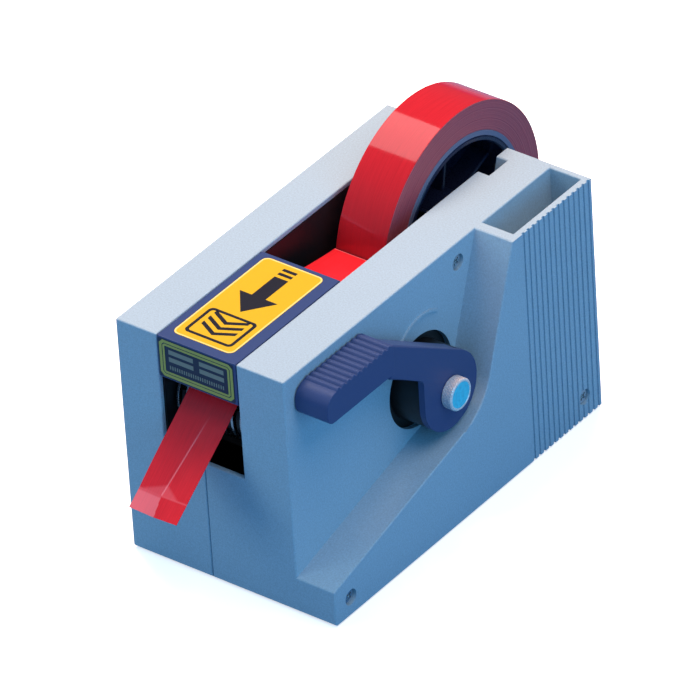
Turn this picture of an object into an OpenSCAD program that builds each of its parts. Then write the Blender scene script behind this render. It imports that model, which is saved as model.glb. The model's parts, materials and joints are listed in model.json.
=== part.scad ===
// Lever-operated bench tape dispenser, 102 x 181 x 111 mm, on rubber feet.
// The lever on the right cheek feeds a length of tape and drives the knife.
// Everything is drawn in casing coordinates: x from the left side, y from the
// front face, z from the casing's lower rim. place() moves it to the row frame.

/* [Casing] */
// Full width of the casing at the foot
body_w = 102; // [100:0.5:106]
// Length of the casing, front to rear
body_l = 181; // [179:0.5:186]
// Height of the casing
body_h = 111; // [110.5:0.5:113]
// Wall thickness of the moulded halves
wall = 2.5; // [2:0.1:3]
// Left edge of the tape channel
channel_x0 = 20.4; // [19:0.1:22]
// Right edge of the tape channel
channel_x1 = 60; // [59:0.1:61]
// Outer face of the right cheek, above the ledge
cheek_x = 83.3; // [82.8:0.1:84]
// Height of the front opening's lower edge
mouth_z = 56; // [50:0.5:57]
// Height of the channel floor under the roll
floor_z = 28; // [26:0.5:29]

/* [Right-hand ledge] */
// Ledge height at the front face
ledge_z0 = 16.4; // [14:0.1:18]
// Rise of the ledge, in degrees
ledge_slope = 15.2; // [13:0.1:16]
// Slope of the rear block's front edge, in degrees
block_slope = 69.8; // [66:0.1:74]
// Where that edge reaches the top
block_top_y = 127.6; // [125:0.1:129]
// Radius between the ledge and the block
ledge_fillet = 26.4; // [15:0.1:30]

/* [Tape and roll] */
// Tape width
tape_w = 24; // [19:0.5:25]
// Outer radius of the roll
roll_r = 53.4; // [48:0.1:54]
// Inner radius of the cardboard core
core_r = 38.1; // [37.5:0.1:38.5]
// Wall of the core
core_wall = 2.3; // [2:0.1:3]
// Roll centre from the front
roll_y = 159; // [158.5:0.1:160]
// Roll centre height
roll_z = 83; // [82.6:0.1:84]
// Lean of the axle slots, degrees back from vertical
slot_lean = 17; // [10:0.5:20]
// How far the tail hangs out past the feed roller
tail_len = 61.6; // [20:0.1:65]
// Slope of the tail below level, in degrees
tail_slope = 39; // [36:0.5:41]

/* [Lever] */
// Lever axis from the front
lever_y = 86.8; // [86:0.1:87.5]
// Lever axis height
lever_z = 61.2; // [61:0.1:62]
// Radius of the black drum behind the lever
drum_r = 17; // [16:0.1:17]
// Radius of the round opening in the cheek
drum_hole_r = 20.9; // [20:0.1:21]
// Radius of the lever's round hub
hub_r = 17.2; // [16:0.1:18]
// Full press of the lever, in degrees
lever_travel = 45; // [30:1:45]

/* [Feed and knife] */
// Feed disc radius
disc_r = 16; // [14:0.1:16.2]
// Pitch of the feed discs
disc_pitch = 4.5; // [4.2:0.1:4.8]
// Feed roller axis from the front
feed_y = 24; // [24:0.1:25]
// Feed roller axis height
feed_z = 74.5; // [74:0.1:75]
// Pressure roller radius
press_r = 5.5; // [5:0.1:5.6]
// Guide roller radius
guide_r = 6.3; // [5.5:0.1:6.5]
// Knife stroke
knife_travel = 6.5; // [5:0.1:6.5]
// Gear module
gear_m = 1; // [1:1:1]

/* [Hidden] */
$fn = 96;

gap = 0.3;                   // between pieces that move past each other
fit = 0.05;                  // radial clearance of a running fit
seat = 0.02;                 // radial clearance of a fixed fit
foot_h = 1;                  // rubber below the casing rim
tape_t = 0.3;                // thickness of the tape strip
mid_x = (channel_x0 + channel_x1) / 2;
plate_t = 2;                 // side plates
left_plate_x = channel_x0 - plate_t;
plate_y1 = 147.7;            // rear end of the side plates
skin_z = body_h - wall;      // underside of the top skin
rear_y = body_l - wall;      // inner face of the rear wall
block_inner_x = body_w - wall;
tape_x0 = mid_x - tape_w / 2;
tape_x1 = mid_x + tape_w / 2;
parting = 0.2;               // seam between the casing halves

// rear pocket
pocket_x0 = cheek_x + 0.1;
pocket_x1 = body_w - 3.5;
pocket_y0 = 132.6;
pocket_z0 = 50;
rib_pitch = 3.4;
rib_count = 14;

// thin arc rib on the cheek, above the drum
rib_arc_at = [89, 71.2];
rib_arc_r = 19.8;

// axle slots
slot_r = 6;
slot_depth = 5.6;
axle_r = slot_r - 0.1;

// lever hub and clamp screw
plate_face_x = 98.4;         // outer face of the lever
arm_x0 = 90.9;               // inner face of the lever's arm
drum_x0 = 79.2;
drum_x1 = 95.4;
shaft_r = 5;
screw_head_r = 7.1;
screw_head_x1 = 103.4;

// gears: lever sector, idler and feed pinion, 20 degree involute
sector_teeth = 60;
idler_teeth = 26;
pinion_teeth = 18;
gear_x0 = 64.5;
gear_x1 = 70.5;
feed_at = [feed_y, feed_z];
lever_at = [lever_y, lever_z];
idler_at = meet(lever_at, feed_at, gear_m * (sector_teeth + idler_teeth) / 2,
                gear_m * (idler_teeth + pinion_teeth) / 2);
to_idler = angle_of(idler_at - lever_at);
to_feed = angle_of(feed_at - idler_at);
idler_phase = to_idler + 180 + 180 / idler_teeth;
idler_lag = (to_feed - idler_phase) - 360 / idler_teeth * round((to_feed - idler_phase) * idler_teeth / 360);
pinion_phase = to_feed + 180 + idler_lag * idler_teeth / pinion_teeth + 180 / pinion_teeth;

// rollers along the tape
press_lean = 20;
press_at = feed_at + (disc_r + press_r + tape_t + 2 * gap) * [-sin(press_lean), cos(press_lean)];
press_pivot_at = [38, 101];
guide_at = [60, 93];
strip_gap = gap + tape_t / 2;

// knife
knife_y = 7;
blade_y = 4.2;
blade_tip_z = 87.35;
carriage_z0 = 92;
carriage_z1 = 102;
rod_r = 1.4;
link_z = 96;
link_y = 7.5;
rocker_at = [45, 96];
rocker_travel = asin(knife_travel / (rocker_at[0] - link_y));
rocker_x0 = 76;
rocker_x1 = 78;
cam_x0 = 72;
cam_x1 = 75;
follower_r = 3;
follower_home = lever_at + 32.4 * [cos(110), sin(110)];
cam_gap = 0.4;

// hinge of the cover
cover_l = 69;
hinge_at = [65.5, 106];
hinge_r = 1.5;
flap_z = 91;

// origin: centre of the whole outline, on the ground
tail_end = tail_point(tail_len);
rear_most = roll_y + roll_r;
front_most = tail_end[0] - tape_t / 2 * sin(tail_slope);
origin = [screw_head_x1 / 2, (rear_most + front_most) / 2, -foot_h];

function angle_of(v) = atan2(v[1], v[0]);
function polar(r, a) = [r * cos(a), r * sin(a)];

// point at distance a from p and b from q, on the lower side of the line
function meet(p, q, a, b) = let (d = norm(q - p), u = (q - p) / d,
  s = (a * a - b * b + d * d) / (2 * d), h = sqrt(a * a - s * s))
  p + s * u + h * [-u[1], u[0]];

// point on the tail, t mm past the feed roller's tangent
function tail_point(t) = feed_at + (disc_r + strip_gap) * [-sin(tail_slope), cos(tail_slope)]
  - t * [cos(tail_slope), sin(tail_slope)];

function arc(c, r, a0, a1, n) = [for (i = [0:n]) c + polar(r, a0 + (a1 - a0) * i / n)];

function involute(b, r) = let (a = acos(min(1, b / r))) tan(a) * 180 / PI - a;

// one tooth centred at angle c, from root to root
function tooth(z, c) = let (p = z * gear_m / 2, b = p * cos(20), root = p - 1.25 * gear_m,
  tip = p + 0.94 * gear_m, start = max(b, root), half = 90 / z - 0.55 + involute(b, p),
  radii = [for (i = [0:4]) start + (tip - start) * i / 4])
  concat([polar(root, c - half)], [for (r = radii) polar(r, c - half + involute(b, r))],
         [for (i = [4:-1:0]) polar(radii[i], c + half - involute(b, radii[i]))],
         [polar(root, c + half)]);

function teeth(z, phase, first, last) = [for (i = [first:last], q = tooth(z, phase + 360 * i / z)) q];

// centre of the cam follower when the lever is pressed by a degrees
function follower_at(a) = let (t = a * rocker_travel / lever_travel, v = follower_home - rocker_at)
  rocker_at + [v[0] * cos(t) - v[1] * sin(t), v[0] * sin(t) + v[1] * cos(t)];

// ---- helpers -------------------------------------------------------------

module place() translate(-origin) children();
module along_x(x0, x1) translate([x0, 0, 0]) rotate([90, 0, 90]) linear_extrude(x1 - x0) children();
module rod(x0, x1, at, r) translate([x0, at[0], at[1]]) rotate([0, 90, 0]) cylinder(r = r, h = x1 - x0);
module pipe(x0, x1, at, r, bore) difference() {
  rod(x0, x1, at, r);
  rod(x0 - 1, x1 + 1, at, bore);
}
module block(x, y, z) translate([x[0], y[0], z[0]]) cube([x[1] - x[0], y[1] - y[0], z[1] - z[0]]);

// ---- casing --------------------------------------------------------------

// side outline of the ledge and the rear block, drawn in by inset
module side_outline(inset) {
  drop = inset / cos(ledge_slope);
  back = inset / sin(block_slope);
  r = ledge_fillet + inset;
  k1 = tan(ledge_slope);
  k2 = tan(block_slope);
  yc = (body_h - k2 * (block_top_y + back) - ledge_z0 + drop) / (k1 - k2);
  zc = ledge_z0 - drop + k1 * yc;
  turn = block_slope - ledge_slope;
  t = r * tan(turn / 2);
  c = [yc, zc] - t * [cos(ledge_slope), sin(ledge_slope)] + r * [-sin(ledge_slope), cos(ledge_slope)];
  polygon(concat([[inset, -inset * 2], [inset, ledge_z0 - drop + k1 * inset]],
    arc(c, r, ledge_slope - 90, block_slope - 90, 16),
    [[block_top_y + back + (inset > 0 ? -inset / k2 : 0), body_h - inset], [body_l - inset, body_h - inset],
     [body_l - inset, -inset * 2]]));
}

casing_screw_at = [[10.3, 8.2], [169.9, 10]];
upper_screw_at = [115.2, 101.6];
bottom_screw_at = [[8, 40], [8, 140], [92, 44], [92, 118]];
boss_r = 4.5;                // bosses round the casing screws

module slot(x0, x1, r) {
  top = 40;
  up = [sin(slot_lean), cos(slot_lean)];
  side = [cos(slot_lean), -sin(slot_lean)];
  c = [roll_y, roll_z];
  rod(x0, x1, c, r);
  along_x(x0, x1) polygon([c - r * side, c - r * side + top * up, c + r * side + top * up, c + r * side]);
}

// wall beside the roll, with the thick pad that holds one end of the axle
module axle_wall(face, dir) {
  x = [min(face, face + dir * plate_t), max(face, face + dir * plate_t)];
  pad = [min(face, face + dir * (slot_depth + 2)), max(face, face + dir * (slot_depth + 2))];
  block(x, [148, rear_y + 0.1], [floor_z - 0.1, skin_z + 0.1]);
  along_x(pad[0], pad[1]) polygon([[148, 66], [172, 66], [rear_y + 0.1, 90], [rear_y + 0.1, skin_z + 0.1],
    [148, skin_z + 0.1]]);
}

module left_casing() color("lightsteelblue") place() difference() {
  union() {
    difference() {
      block([0, mid_x - parting / 2], [0, body_l], [0, body_h]);
      block([wall, mid_x + 1], [wall, rear_y], [-1, skin_z]);
      block([channel_x0, mid_x + 1], [-1, wall + 1], [mouth_z, body_h + 1]);
      block([channel_x0, mid_x + 1], [rear_y - 1, body_l + 1], [floor_z, body_h + 1]);
      block([channel_x0, mid_x + 1], [-1, body_l + 1], [skin_z - 1, body_h + 1]);
    }
    block([left_plate_x, mid_x - parting / 2], [95, rear_y + 0.1], [floor_z - wall, floor_z]);
    block([left_plate_x, channel_x0], [148, rear_y + 0.1], [floor_z - wall - 12, floor_z]);
    axle_wall(channel_x0, -1);
    for (s = casing_screw_at) rod(wall - 0.1, mid_x - parting / 2, s, boss_r);
    for (i = [0, 1]) translate([bottom_screw_at[i][0], bottom_screw_at[i][1], 2]) cylinder(r = 4, h = 12);
    block([wall - 0.1, bottom_screw_at[0][0]], [38.5, 41.5], [2, 14]);
    block([wall - 0.1, bottom_screw_at[0][0]], [138.5, 141.5], [2, 14]);
  }
  slot(channel_x0 - slot_depth, channel_x0 + 1, slot_r);
  for (s = casing_screw_at) rod(20, mid_x + 1, s, 1.5 + seat);
  for (i = [0, 1]) translate([bottom_screw_at[i][0], bottom_screw_at[i][1], 1]) cylinder(r = 1.5, h = 10);
}

module right_casing() color("lightsteelblue") place() difference() {
  union() {
    difference() {
      union() {
        block([mid_x + parting / 2, cheek_x], [0, body_l], [0, body_h]);
        along_x(cheek_x - 0.1, body_w) side_outline(0);
      }
      block([mid_x - 1, cheek_x - wall], [wall, rear_y], [-1, skin_z]);
      along_x(cheek_x - wall - 0.1, block_inner_x) side_outline(wall);
      block([mid_x - 1, channel_x1], [-1, wall + 1], [mouth_z, body_h + 1]);
      block([mid_x - 1, channel_x1], [rear_y - 1, body_l + 1], [floor_z, body_h + 1]);
      block([mid_x - 1, channel_x1], [-1, body_l + 1], [skin_z - 1, body_h + 1]);
    }
    block([mid_x + parting / 2, channel_x1 + plate_t], [95, rear_y + 0.1], [floor_z - wall, floor_z]);
    block([channel_x1, channel_x1 + plate_t], [148, rear_y + 0.1], [floor_z - wall - 12, floor_z]);
    axle_wall(channel_x1, 1);
    block([pocket_x0 - 2, body_w - 1], [pocket_y0 - 2, body_l - 1], [pocket_z0 - 2, body_h - 1]);
    block([cam_x1 + 0.4, cheek_x - wall + 0.1], [spring_y - 2.4, spring_y + 2.4], [spring_z0 - 3, spring_z0]);
    along_x(cheek_x - 0.1, cheek_x + 0.9) polygon(concat(arc(rib_arc_at, rib_arc_r + 0.6, 58, 140, 24),
      arc(rib_arc_at, rib_arc_r - 0.6, 140, 58, 24)));
    for (s = casing_screw_at) rod(mid_x + parting / 2, block_inner_x + 0.1, s, boss_r);
    rod(66, cheek_x - wall + 0.1, upper_screw_at, 5);
    for (i = [2, 3]) translate([bottom_screw_at[i][0], bottom_screw_at[i][1], 2]) cylinder(r = 4, h = 12);
    block([92, block_inner_x + 0.1], [42.5, 45.5], [2, 14]);
    block([92, block_inner_x + 0.1], [116.5, 119.5], [2, 14]);
  }
  slot(channel_x1 - 1, channel_x1 + slot_depth, slot_r);
  block([pocket_x0, pocket_x1], [pocket_y0, rear_y], [pocket_z0, body_h + 1]);
  rod(cheek_x - wall - 1, cheek_x + 1, lever_at, drum_hole_r);
  for (s = casing_screw_at) {
    rod(mid_x - 1, body_w + 1, s, 1.7);
    rod(body_w - 3, body_w + 1, s, 3.6);
  }
  rod(60, cheek_x + 1, upper_screw_at, 1.7);
  rod(cheek_x - 2.9, cheek_x + 1, upper_screw_at, 3.6);
  for (i = [0:rib_count - 1])
    block([body_w - 0.7, body_w + 1], [134 + rib_pitch * i, 135.4 + rib_pitch * i], [-1, body_h + 1]);
  for (i = [2, 3]) translate([bottom_screw_at[i][0], bottom_screw_at[i][1], 1]) cylinder(r = 1.5, h = 10);
}

module bottom_plate() color("dimgray") place() difference() {
  block([wall + gap, block_inner_x - gap], [wall + gap, rear_y - gap], [0.2, 1.7]);
  for (s = bottom_screw_at) translate([s[0], s[1], 0]) cylinder(r = 1.7, h = 3);
}

module base_weight() color("slategray") place() difference() {
  block([24, 56.4], [98, 158], [1.7, 24]);
  for (y = [108, 148]) translate([mid_x, y, 0]) cylinder(r = 2, h = 30);
}

foot_at = [[14, 14], [88, 14], [14, 166], [88, 166]];
module rubber_feet() color("black") place() for (f = foot_at) translate([f[0], f[1], -foot_h]) {
  cylinder(r1 = 6.6, r2 = 7, h = 0.5);
  translate([0, 0, 0.5]) cylinder(r = 7, h = foot_h - 0.3);
}

module bottom_screws() color("silver") place() for (s = bottom_screw_at) translate([s[0], s[1], -0.6]) {
  cylinder(r = 2.8, h = 0.8);
  cylinder(r = 1.5 - seat, h = 9);
}

module cross_screw(x_head, x_end, at) difference() {
  union() {
    rod(x_head - 1.9, x_head, at, 3.2);
    rod(x_end, x_head - 1.8, at, 1.5);
  }
  for (a = [45, 135])
    along_x(x_head - 1.1, x_head + 1) translate(at) rotate(a) square([3.6, 0.9], center = true);
}

module casing_screws() color("silver") place() {
  for (s = casing_screw_at) cross_screw(body_w - 1.1, 30, s);
  cross_screw(cheek_x - 1, channel_x1 + 0.5, upper_screw_at);
}

// ---- frame ---------------------------------------------------------------

spacer_at = [[15, 38], [62, 30], [78, 52], [78, 84]];

module side_plate(x0) difference() {
  block([x0, x0 + plate_t], [wall + gap, plate_y1], [1.7, skin_z]);
  block([x0 - 1, x0 + plate_t + 1], [94.7, plate_y1 + 1], [0, floor_z + 0.2]);
  rod(x0 - 1, x0 + 3, casing_screw_at[0], boss_r + gap);
  rod(x0 - 1, x0 + 3, lever_at, 8);
  rod(x0 - 1, x0 + 3, feed_at, 5);
  rod(x0 - 1, x0 + 3, guide_at, 2 + seat);
  rod(x0 - 1, x0 + 3, press_pivot_at, 2 + seat);
  rod(x0 - 1, x0 + 3, hinge_at, hinge_r + seat);
}

module left_side_plate() color([0.12, 0.12, 0.13]) place() side_plate(left_plate_x);

module right_side_plate() color([0.12, 0.12, 0.13]) place() difference() {
  union() {
    side_plate(channel_x1);
    rod(channel_x1 + plate_t - 0.1, 65.8, upper_screw_at, 4);
  }
  rod(59, 67, upper_screw_at, 1.5 + seat);
  rod(59, 63, idler_at, 3 + seat);
  rod(59, 63, rocker_at, 2 + seat);
  block([59, 63], [5.2, 9.8], [link_z - knife_travel - 2.5, link_z + 2.5]);
}

module frame_spacers() color("silver") place() for (s = spacer_at)
  pipe(channel_x0, channel_x1, s, 3.5, 1.5);

module flanged_bush(x0, dir, at, r, bore) {
  difference() {
    union() {
      rod(x0, x0 + plate_t, at, r);
      rod(dir > 0 ? x0 + plate_t : x0 - 1.5, dir > 0 ? x0 + plate_t + 1.5 : x0, at, r + 1.5);
    }
    rod(x0 - 3, x0 + 6, at, bore);
  }
}

module shaft_bushes() color("goldenrod") place() {
  flanged_bush(left_plate_x, -1, lever_at, 8 - seat, shaft_r + fit);
  flanged_bush(channel_x1, 1, lever_at, 8 - seat, shaft_r + fit);
}

module feed_bushes() color("goldenrod") place() {
  flanged_bush(left_plate_x, -1, feed_at, 5 - seat, 3 + fit);
  flanged_bush(channel_x1, 1, feed_at, 5 - seat, 3 + fit);
}

module idler_pin() color("silver") place() {
  rod(channel_x1, 72, idler_at, 3);
  rod(gear_x1 + 0.2, 72, idler_at, 4.5);
}

module rocker_pin() color("silver") place() {
  rod(channel_x1, rocker_x1 + 1.5, rocker_at, 2);
  pipe(channel_x1 + plate_t, rocker_x0 - gap, rocker_at, 4, 2 + seat);
  rod(rocker_x1 + gap, rocker_x1 + 1.5, rocker_at, 3.5);
}

module guide_roller_pin() color("silver") place() rod(left_plate_x, channel_x1 + plate_t, guide_at, 2);
module pressure_pivot() color("silver") place() rod(left_plate_x, channel_x1 + plate_t, press_pivot_at, 2);
module cover_hinge_pin() color("silver") place() rod(left_plate_x, channel_x1 + plate_t, hinge_at, hinge_r);

// thin fingers between the feed discs lift the tape off them
finger_count = 8;
module stripper_comb() color([0.1, 0.1, 0.1]) place() {
  block([channel_x0, channel_x1], [18, 26], [55, 57.6]);
  for (i = [0:finger_count - 1]) {
    x = mid_x + disc_pitch * (i - (finger_count - 1) / 2);
    along_x(x - 0.8, x + 0.8) {
      polygon(concat(arc(feed_at, 15, 160, 262, 12), arc(feed_at, 10.4, 262, 160, 12)));
      translate([19, 57]) square([5, 5]);
    }
  }
}

module knife_bracket() color("dimgray") place() difference() {
  block([channel_x0, channel_x1], [4.4, 9.6], [103, 106.5]);
  for (x = rod_x) translate([x, knife_y, 100]) cylinder(r = rod_r + seat, h = 9);
}

rod_x = [24.5, channel_x0 + channel_x1 - 24.5];
module knife_guide_rods() color("silver") place() for (x = rod_x)
  translate([x, knife_y, 86]) cylinder(r = rod_r, h = 20.5);

module lever_return_spring() color("gray") place() pipe(76.2, 78.8, lever_at, 8.5, 6.6);

// stands on the casing's shelf and pushes the rear arm of the rocker up
spring_y = 62;
spring_z0 = 66;
spring_z1 = 88.6;
module rocker_spring() color("gray") place() translate([77.6, spring_y, spring_z0]) difference() {
  cylinder(r = 1.9, h = spring_z1 - spring_z0);
  translate([0, 0, -1]) cylinder(r = 1.2, h = spring_z1 - spring_z0 + 2);
}

// ---- tape strip from the roll, over the rollers and out of the mouth --------

strip_lift = 0.45;           // free gap at the peel line
peel_angle = 169;
peel_at = [roll_y, roll_z] + polar(roll_r + strip_lift, peel_angle);

// centre line of the strip, drawn toward its backing by side
function strip_line(side) = let (g = guide_r + strip_gap + side, f = disc_r + strip_gap + side,
  nip = angle_of(guide_at - feed_at) + acos((f - g) / norm(guide_at - feed_at)))
  concat([peel_at + side * [0.2, 1]], arc(guide_at, g, 84, nip, 6), arc(feed_at, f, nip, 90 + tail_slope, 8),
         [tail_end + side * [-sin(tail_slope), cos(tail_slope)]]);

module tape_strip() color("crimson") place() along_x(tape_x0, tape_x1) polygon(concat(
  strip_line(tape_t / 2), [for (i = [len(strip_line(0)) - 1:-1:0]) strip_line(-tape_t / 2)[i]]));

// ---- cover ---------------------------------------------------------------

module guard_cover() color([0.2, 0.26, 0.5]) place() difference() {
  union() {
    block([channel_x0 + gap, channel_x1 - gap], [0, cover_l], [body_h - 2, body_h]);
    block([channel_x0 + gap, channel_x1 - gap], [0, 2], [flap_z, body_h - 1]);
    for (x = [channel_x0 + gap, channel_x1 - gap - 1.5]) block([x, x + 1.5], [12, 64], [104, body_h - 1]);
    for (x = [channel_x0 + gap, mid_x - 5, channel_x1 - gap - 8]) {
      w = x == mid_x - 5 ? 10 : 8;
      rod(x, x + w, hinge_at, 2.9);
      block([x, x + w], [hinge_at[0] - 2.9, hinge_at[0] + 2.9], [hinge_at[1], body_h - 1]);
    }
  }
  rod(channel_x0, channel_x1, hinge_at, hinge_r + fit);
}

module rounded_plate(w, h, r) {
  translate([r, 0]) square([w - 2 * r, h]);
  translate([0, r]) square([w, h - 2 * r]);
  for (x = [r, w - r], y = [r, h - r]) translate([x, y]) circle(r = r);
}

module top_label() color("gold") place() translate([24.5, 4.6, body_h]) linear_extrude(0.2)
  rounded_plate(29.9, 61.9, 3);

module front_label() color([0.18, 0.22, 0.35]) place() translate([21.2, 0, 91.8]) rotate([90, 0, 0])
  linear_extrude(0.2) rounded_plate(37.4, 18.4, 0.8);

// ---- lever ---------------------------------------------------------------

handle_y0 = 6;
handle_y1 = 50;
handle_z0 = 92.3;
handle_z1 = 106.2;
handle_x0 = 83.9;
handle_x1 = 99.9;
handle_top_r = 6.5;
handle_bottom_r = 3;
handle_ribs = 11;
handle_rib_y = 13.6;
handle_rib_pitch = 3.34;
arm_fillet = 4;              // radius between the hub and the arm's lower edge

module handle_outline() polygon(concat(
  arc([handle_y0 + handle_top_r, handle_z1 - handle_top_r], handle_top_r, 90, 180, 12),
  arc([handle_y0 + handle_bottom_r, handle_z0 + handle_bottom_r], handle_bottom_r, 180, 270, 8),
  [[handle_y1, handle_z0], [handle_y1, handle_z1]]));

// arm and hub: top edge tangent to the hub, round the hub, up to the fillet under the arm
module arm_outline() {
  tip = [handle_y1 + 0.7, 105.1];
  a = angle_of(tip - lever_at) - acos(hub_r / norm(tip - lever_at));
  polygon(concat([[handle_y1 - 0.4, 105.1], tip], arc(lever_at, hub_r, a, -180, 48),
    arc([lever_y - hub_r - arm_fillet, 74], arm_fillet, 0, 58.6, 8), [[handle_y1 - 1.4, 89.2]]));
}

module lever() color([0.14, 0.2, 0.42]) place() difference() {
  union() {
    along_x(arm_x0, plate_face_x) arm_outline();
    along_x(handle_x0, handle_x1) handle_outline();
    for (i = [0:handle_ribs - 1])
      rod(handle_x0 + 0.5, handle_x1 - 0.5, [handle_rib_y + handle_rib_pitch * i, handle_z1 - 0.3], 0.8);
  }
  rod(arm_x0 - 1, drum_x1 + 0.1, lever_at, drum_r + 0.6);
  rod(90, 100, lever_at, 3.2);
}

// the flange inside the cheek closes the gap round the drum
module lever_drum() color([0.1, 0.1, 0.1]) place() difference() {
  union() {
    rod(drum_x0, drum_x1, lever_at, drum_r);
    rod(drum_x0, cheek_x - wall - gap, lever_at, drum_hole_r + 0.7);
  }
  rod(drum_x0 - 1, drum_x1 - 2, lever_at, shaft_r + seat);
  rod(drum_x0, drum_x1 + 1, lever_at, 3.2);
}

module lever_shaft() color("silver") place() difference() {
  rod(left_plate_x - 1.2, drum_x1 - 2.2, lever_at, shaft_r);
  rod(82, drum_x1, lever_at, 3 + seat);
}

module clamp_screw() color("silver") place() {
  rod(plate_face_x + 0.1, screw_head_x1, lever_at, screw_head_r);
  rod(84, plate_face_x + 0.2, lever_at, 3);
}

module lever_gear() color("dimgray") place() difference() {
  union() {
    along_x(gear_x0, gear_x1) polygon(concat([lever_at],
      [for (q = teeth(sector_teeth, to_idler, -10, 2)) q + lever_at]));
    rod(gear_x0, gear_x1 + 1.2, lever_at, 10);
  }
  rod(gear_x0 - 1, gear_x1 + 3, lever_at, shaft_r + seat);
}

module knife_cam() color("silver") place() difference() {
  union() {
    along_x(cam_x0, cam_x1) polygon(concat([lever_at], [for (a = [-6:3:48]) let (c = follower_at(a) - lever_at)
      lever_at + polar(norm(c) - follower_r - cam_gap, angle_of(c) - a)]));
    rod(cam_x0, cam_x1, lever_at, 10);
  }
  rod(cam_x0 - 1, cam_x1 + 1, lever_at, shaft_r + seat);
}

// ---- gear train and rollers -----------------------------------------------

module full_gear(z, at, phase, bore) difference() {
  union() {
    along_x(gear_x0 + 0.5, gear_x1 - 0.5) translate(at) polygon(teeth(z, phase, 0, z - 1));
    rod(gear_x0, gear_x1, at, bore + 2.5);
  }
  rod(gear_x0 - 1, gear_x1 + 1, at, bore);
}

module idler_gear() color("ivory") place() full_gear(idler_teeth, idler_at, idler_phase, 3 + fit);
module feed_pinion() color("ivory") place() full_gear(pinion_teeth, feed_at, pinion_phase, 3 + seat);

module feed_shaft() color("silver") place() rod(left_plate_x - 1.2, gear_x1 + 1, feed_at, 3);

disc_count = 9;
disc_t = 1.2;
sleeve_r = 8;
module feed_sleeve() color("silver") place()
  pipe(channel_x0 + 0.5, channel_x1 - 0.5, feed_at, sleeve_r, 3 + seat);

module feed_discs() color("silver") place() for (i = [0:disc_count - 1]) {
  x = mid_x + disc_pitch * (i - (disc_count - 1) / 2);
  pipe(x - disc_t / 2, x + disc_t / 2, feed_at, disc_r, sleeve_r + seat);
}

module guide_roller() color("gainsboro") place() difference() {
  union() {
    rod(channel_x0 + 0.6, channel_x1 - 0.6, guide_at, guide_r - 1.6);
    for (i = [-2:2]) rod(mid_x + 5.4 * i - 1, mid_x + 5.4 * i + 1, guide_at, guide_r);
  }
  rod(channel_x0 - 1, channel_x1 + 1, guide_at, 2 + fit);
}

press_arm_x = [22.6, 55.6];  // left faces of the two side arms
press_arm_t = 2.2;
module pressure_arm() color("silver") place() {
  along = press_at - press_pivot_at;
  side = 3 * [-along[1], along[0]] / norm(along);
  for (x = press_arm_x) difference() {
    union() {
      rod(x, x + press_arm_t, press_at, 3.4);
      rod(x, x + press_arm_t, press_pivot_at, 4);
      along_x(x, x + press_arm_t) polygon([press_at + side, press_pivot_at + side, press_pivot_at - side,
        press_at - side]);
    }
    rod(x - 1, x + 4, press_at, 1.5 + seat);
    rod(x - 1, x + 4, press_pivot_at, 2 + fit);
  }
  along_x(press_arm_x[0] + 2, press_arm_x[1] + 0.2) translate((press_at + press_pivot_at) / 2 + [3, 0.6])
    rotate(angle_of(-along)) square([7, 1.6], center = true);
}

module pressure_axle() color("silver") place() rod(press_arm_x[0], press_arm_x[1] + press_arm_t, press_at, 1.5);

module pressure_springs() color("gray") place() for (x = [press_arm_x[0] + 2.8, press_arm_x[1] - 5.6])
  pipe(x, x + 5, press_pivot_at, 3.2, 2.3);

module pressure_roller() color([0.25, 0.25, 0.27]) place()
  pipe(press_arm_x[0] + press_arm_t + 0.6, press_arm_x[1] - 0.6, press_at, press_r, 1.5 + fit);

// ---- knife drive -----------------------------------------------------------

module knife_rocker() color("dimgray") place() {
  difference() {
    along_x(rocker_x0, rocker_x1) {
      polygon([[link_y + 1, 99], rocker_at + [0, 5], follower_home + [0, 4], follower_home - [0, 4],
        rocker_at - [0, 5], [link_y + 1, 93]]);
      translate([link_y + 0.6, link_z]) circle(r = 4.2);
      translate(follower_home) circle(r = 4);
    }
    rod(rocker_x0 - 1, rocker_x1 + 1, rocker_at, 2 + fit);
    along_x(rocker_x0 - 1, rocker_x1 + 1) translate([link_y - 0.1, link_z]) square([4.8, 3.4], center = true);
  }
  rod(cam_x0 - 0.6, rocker_x0 + 0.1, follower_home, 1.2);
}

module cam_follower() color("silver") place() pipe(cam_x0, cam_x1 + 0.5, follower_home, follower_r, 1.2 + fit);

module knife_carriage() color("dimgray") place() difference() {
  union() {
    block([22, channel_x0 + channel_x1 - 22], [5, 9], [carriage_z0, carriage_z1]);
    rod(58, rocker_x1 + 0.4, [link_y, link_z], 1.5);
  }
  for (x = rod_x) translate([x, knife_y, 90]) cylinder(r = rod_r + fit, h = 14);
}

blade_teeth = 14;
module knife_blade() color("whitesmoke") place() {
  x0 = tape_x0 - 2;
  w = tape_w + 4;
  translate([0, blade_y + 0.8, 0]) rotate([90, 0, 0]) linear_extrude(0.8) polygon(concat(
    [[x0 + w, 99], [x0, 99], [x0, blade_tip_z + 1.4]],
    [for (i = [0:blade_teeth - 1], k = [0, 1])
      [x0 + w / blade_teeth * (i + 0.5 + k / 2), blade_tip_z + 1.4 * k]]));
}

// ---- roll ----------------------------------------------------------------

roll_at = [roll_y, roll_z];

module roll_axle() color("silver") place()
  rod(channel_x0 - slot_depth + gap, channel_x1 + slot_depth - gap, roll_at, axle_r);

module axle_collars() color([0.15, 0.15, 0.16]) place() {
  pipe(channel_x0 + 0.8, tape_x0 - 1, roll_at, 9, axle_r + seat);
  pipe(tape_x1 + 1, channel_x1 - 0.8, roll_at, 9, axle_r + seat);
}

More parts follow.
